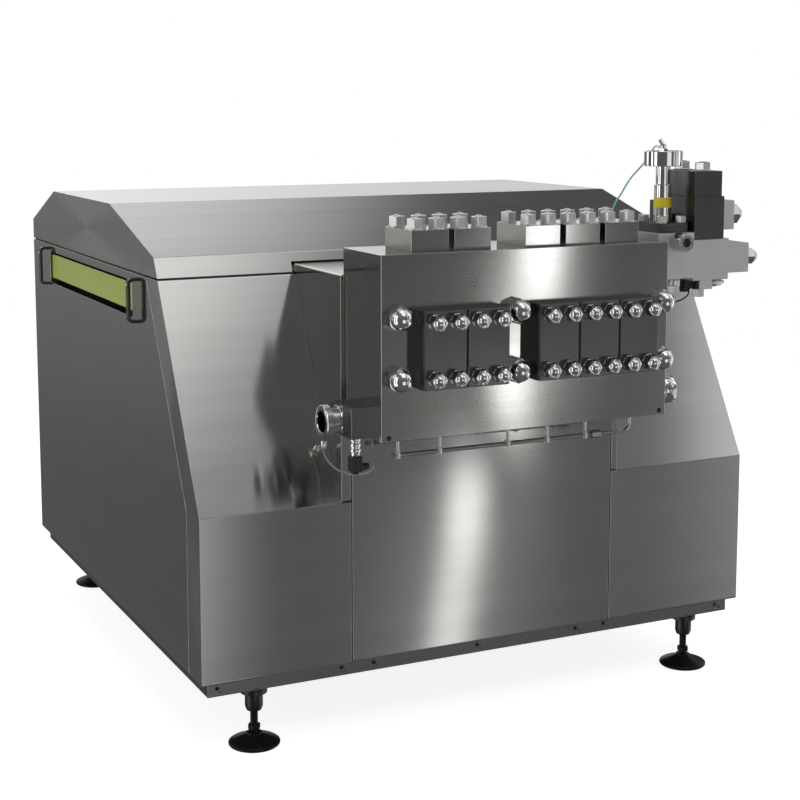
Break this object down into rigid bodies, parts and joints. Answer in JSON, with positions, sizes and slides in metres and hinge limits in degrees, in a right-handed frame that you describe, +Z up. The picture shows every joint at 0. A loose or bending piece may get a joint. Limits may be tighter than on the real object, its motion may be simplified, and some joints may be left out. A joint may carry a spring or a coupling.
{
  "type": "dairy homogenizer",
  "caption": "Floor-standing high-pressure homogenizer for milk: stainless cabinet with hinged hood, belt-driven plunger pump, cylinder block with bolted covers and a two-stage valve.",
  "frame": {"origin": "on the floor under the middle of the outline", "axes": "+X to the right seen from the front, +Y to the rear, +Z up"},
  "size_m": [2.064, 2.437, 1.8731],
  "materials": {
    "sheet_steel": "brushed stainless sheet, fine satin grain",
    "frame_steel": "brushed stainless box section",
    "foot_black": "black glossy coating on pad and spindle",
    "grip_black": "black moulded plastic",
    "vent_green": "green powder coat",
    "seal_rubber": "matt black rubber",
    "hinge_steel": "stainless hinge",
    "crankcase_paint": "painted casting",
    "pulley_iron": "turned cast iron",
    "motor_paint": "painted ribbed housing",
    "belt_rubber": "black V-belt",
    "block_steel": "ground duplex steel",
    "plunger_ceramic": "polished ceramic coat",
    "cover_steel": "ground stainless plate",
    "nut_chrome": "polished stainless",
    "nut_steel": "bright stainless",
    "tube_steel": "polished stainless tube",
    "sensor_chrome": "polished stainless",
    "connector_black": "black moulded plastic",
    "lead_black": "black cable jacket",
    "lead_grey": "light grey cable jacket",
    "lead_teal": "teal cable jacket"
  },
  "bodies": {
    "cabinet": {"base_frame": "frame_steel", "left_wing_panel": "sheet_steel", "right_wing_panel": "sheet_steel", "tower_shell": "sheet_steel", "front_panel": "sheet_steel", "rear_panel": "sheet_steel", "left_side_panel": "sheet_steel", "right_side_panel": "sheet_steel", "panel_grips": "grip_black", "left_vent_plate": "vent_green", "right_vent_plate": "vent_green", "hood_seal": "seal_rubber", "hinge_bases": "hinge_steel", "crankcase": "crankcase_paint", "crankcase_lid": "crankcase_paint", "motor": "motor_paint", "drive_belts": "belt_rubber", "left_cheek": "crankcase_paint", "right_cheek": "crankcase_paint", "cylinder_block": "block_steel", "front_covers_left": "cover_steel", "front_covers_right": "cover_steel", "top_covers_left": "cover_steel", "top_covers_right": "cover_steel", "front_cover_nuts": "nut_chrome", "top_cover_nuts": "nut_steel", "block_dome_nuts": "nut_chrome", "suction_manifold": "block_steel", "suction_sensor": "tube_steel", "sensor_connector": "connector_black", "suction_lead": "lead_grey", "cable_glands": "tube_steel", "suction_end_cap": "tube_steel", "flush_rail": "tube_steel", "valve_base": "block_steel", "stage_one_body": "block_steel", "stage_one_cap": "block_steel", "stage_two_body": "block_steel", "stage_two_cap": "block_steel", "stage_two_side_cap": "block_steel", "valve_fasteners": "nut_chrome", "pressure_flange": "block_steel", "pressure_sensor": "sensor_chrome", "valve_connector": "connector_black", "pressure_lead": "lead_teal", "valve_lead": "lead_black"},
    "hood": {"hood": "sheet_steel", "hinge_leaves": "hinge_steel"},
    "drive_wheel": {"drive_pulley": "pulley_iron"},
    "motor_wheel": {"motor_pulley": "pulley_iron"},
    "plunger_1": {"plunger_1": "plunger_ceramic"},
    "plunger_2": {"plunger_2": "plunger_ceramic"},
    "plunger_3": {"plunger_3": "plunger_ceramic"},
    "plunger_4": {"plunger_4": "plunger_ceramic"},
    "plunger_5": {"plunger_5": "plunger_ceramic"},
    "foot_front_left": {"foot_front_left": "foot_black"},
    "foot_front_right": {"foot_front_right": "foot_black"},
    "foot_rear_left": {"foot_rear_left": "foot_black"},
    "foot_rear_right": {"foot_rear_right": "foot_black"}
  },
  "joints": [
    {"name": "hood_hinge", "type": "hinge", "parent": "cabinet", "child": "hood", "pos_m": [0, 1.2095, 1.4355], "axis": [-1, 0, 0], "range_deg": [0, 65]},
    {"name": "drive_spin", "type": "hinge", "parent": "cabinet", "child": "drive_wheel", "pos_m": [0.586, -0.2135, 0.83], "axis": [1, 0, 0], "continuous": true},
    {"name": "motor_spin", "type": "hinge", "parent": "cabinet", "child": "motor_wheel", "pos_m": [0.586, 0.6065, 0.585], "axis": [1, 0, 0], "continuous": true},
    {"name": "plunger_1_stroke", "type": "slide", "parent": "cabinet", "child": "plunger_1", "axis": [0, 1, 0], "range_m": [-0.03, 0.03]},
    {"name": "plunger_2_stroke", "type": "slide", "parent": "cabinet", "child": "plunger_2", "axis": [0, 1, 0], "range_m": [-0.03, 0.03]},
    {"name": "plunger_3_stroke", "type": "slide", "parent": "cabinet", "child": "plunger_3", "axis": [0, 1, 0], "range_m": [-0.03, 0.03]},
    {"name": "plunger_4_stroke", "type": "slide", "parent": "cabinet", "child": "plunger_4", "axis": [0, 1, 0], "range_m": [-0.03, 0.03]},
    {"name": "plunger_5_stroke", "type": "slide", "parent": "cabinet", "child": "plunger_5", "axis": [0, 1, 0], "range_m": [-0.03, 0.03]},
    {"name": "foot_front_left_turn", "type": "hinge", "parent": "cabinet", "child": "foot_front_left", "pos_m": [-0.813, -0.7875, 0], "axis": [0, 0, 1], "continuous": true},
    {"name": "foot_front_right_turn", "type": "hinge", "parent": "cabinet", "child": "foot_front_right", "pos_m": [0.813, -0.7875, 0], "axis": [0, 0, 1], "continuous": true},
    {"name": "foot_rear_left_turn", "type": "hinge", "parent": "cabinet", "child": "foot_rear_left", "pos_m": [-0.813, 1.0675, 0], "axis": [0, 0, 1], "continuous": true},
    {"name": "foot_rear_right_turn", "type": "hinge", "parent": "cabinet", "child": "foot_rear_right", "pos_m": [0.813, 1.0675, 0], "axis": [0, 0, 1], "continuous": true}
  ],
  "couplings": [
    {"joint": "motor_spin", "follows": "drive_spin", "ratio": 3.2}
  ]
}
